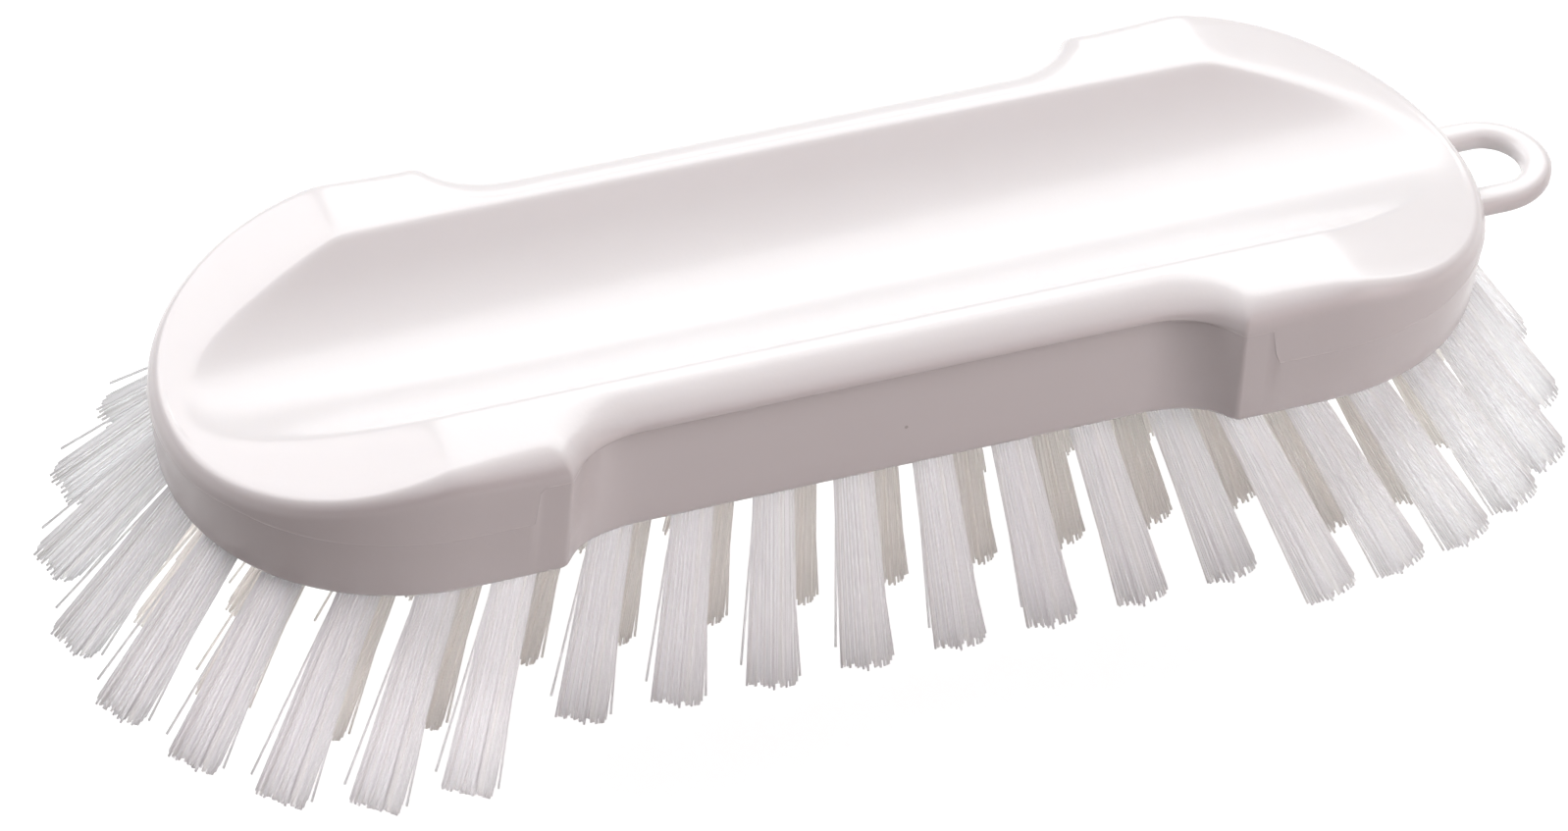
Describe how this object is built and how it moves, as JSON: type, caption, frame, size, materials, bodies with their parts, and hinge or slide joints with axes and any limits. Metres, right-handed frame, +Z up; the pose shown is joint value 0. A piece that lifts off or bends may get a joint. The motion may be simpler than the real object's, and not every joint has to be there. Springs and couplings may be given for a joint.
{
  "type": "hand scrubbing brush",
  "caption": "Hand-held cleaning brush: a waisted moulded block with a palm trough and a hanging loop, over splayed tufts of stiff bristles.",
  "frame": {"origin": "on the plane that the bristle tips stand on, under the middle of the bounding box", "axes": "+X along the block towards the hanging loop, +Z up through the palm trough, +Y across the block"},
  "size_m": [0.2178, 0.0956, 0.0492],
  "materials": {
    "block_plastic": "smooth satin white with a faint mould line",
    "outer_bristle": "translucent off-white filaments with a satin sheen",
    "inner_bristle": "translucent off-white filaments, warmer and darker in the shade of the outer rows"
  },
  "bodies": {
    "root": {"block": "block_plastic", "centre_row": "inner_bristle", "inner_pair_left_far": "inner_bristle", "inner_pair_left_near": "inner_bristle", "inner_pair_right_far": "inner_bristle", "inner_pair_right_near": "inner_bristle", "inner_row_far": "inner_bristle", "inner_row_near": "inner_bristle", "inner_tip_left": "inner_bristle", "inner_tip_right": "inner_bristle", "inner_trio_left": "inner_bristle", "inner_trio_right": "inner_bristle", "tuft_far_1": "outer_bristle", "tuft_far_2": "outer_bristle", "tuft_far_3": "outer_bristle", "tuft_far_4": "outer_bristle", "tuft_far_5": "outer_bristle", "tuft_far_6": "outer_bristle", "tuft_far_7": "outer_bristle", "tuft_far_8": "outer_bristle", "tuft_left_1": "outer_bristle", "tuft_left_10": "outer_bristle", "tuft_left_11": "outer_bristle", "tuft_left_2": "outer_bristle", "tuft_left_3": "outer_bristle", "tuft_left_4": "outer_bristle", "tuft_left_5": "outer_bristle", "tuft_left_6": "outer_bristle", "tuft_left_7": "outer_bristle", "tuft_left_8": "outer_bristle", "tuft_left_9": "outer_bristle", "tuft_near_1": "outer_bristle", "tuft_near_2": "outer_bristle", "tuft_near_3": "outer_bristle", "tuft_near_4": "outer_bristle", "tuft_near_5": "outer_bristle", "tuft_near_6": "outer_bristle", "tuft_near_7": "outer_bristle", "tuft_near_8": "outer_bristle", "tuft_right_1": "outer_bristle", "tuft_right_10": "outer_bristle", "tuft_right_11": "outer_bristle", "tuft_right_12": "outer_bristle", "tuft_right_13": "outer_bristle", "tuft_right_2": "outer_bristle", "tuft_right_3": "outer_bristle", "tuft_right_4": "outer_bristle", "tuft_right_5": "outer_bristle", "tuft_right_6": "outer_bristle", "tuft_right_7": "outer_bristle", "tuft_right_8": "outer_bristle", "tuft_right_9": "outer_bristle"}
  },
  "joints": []
}
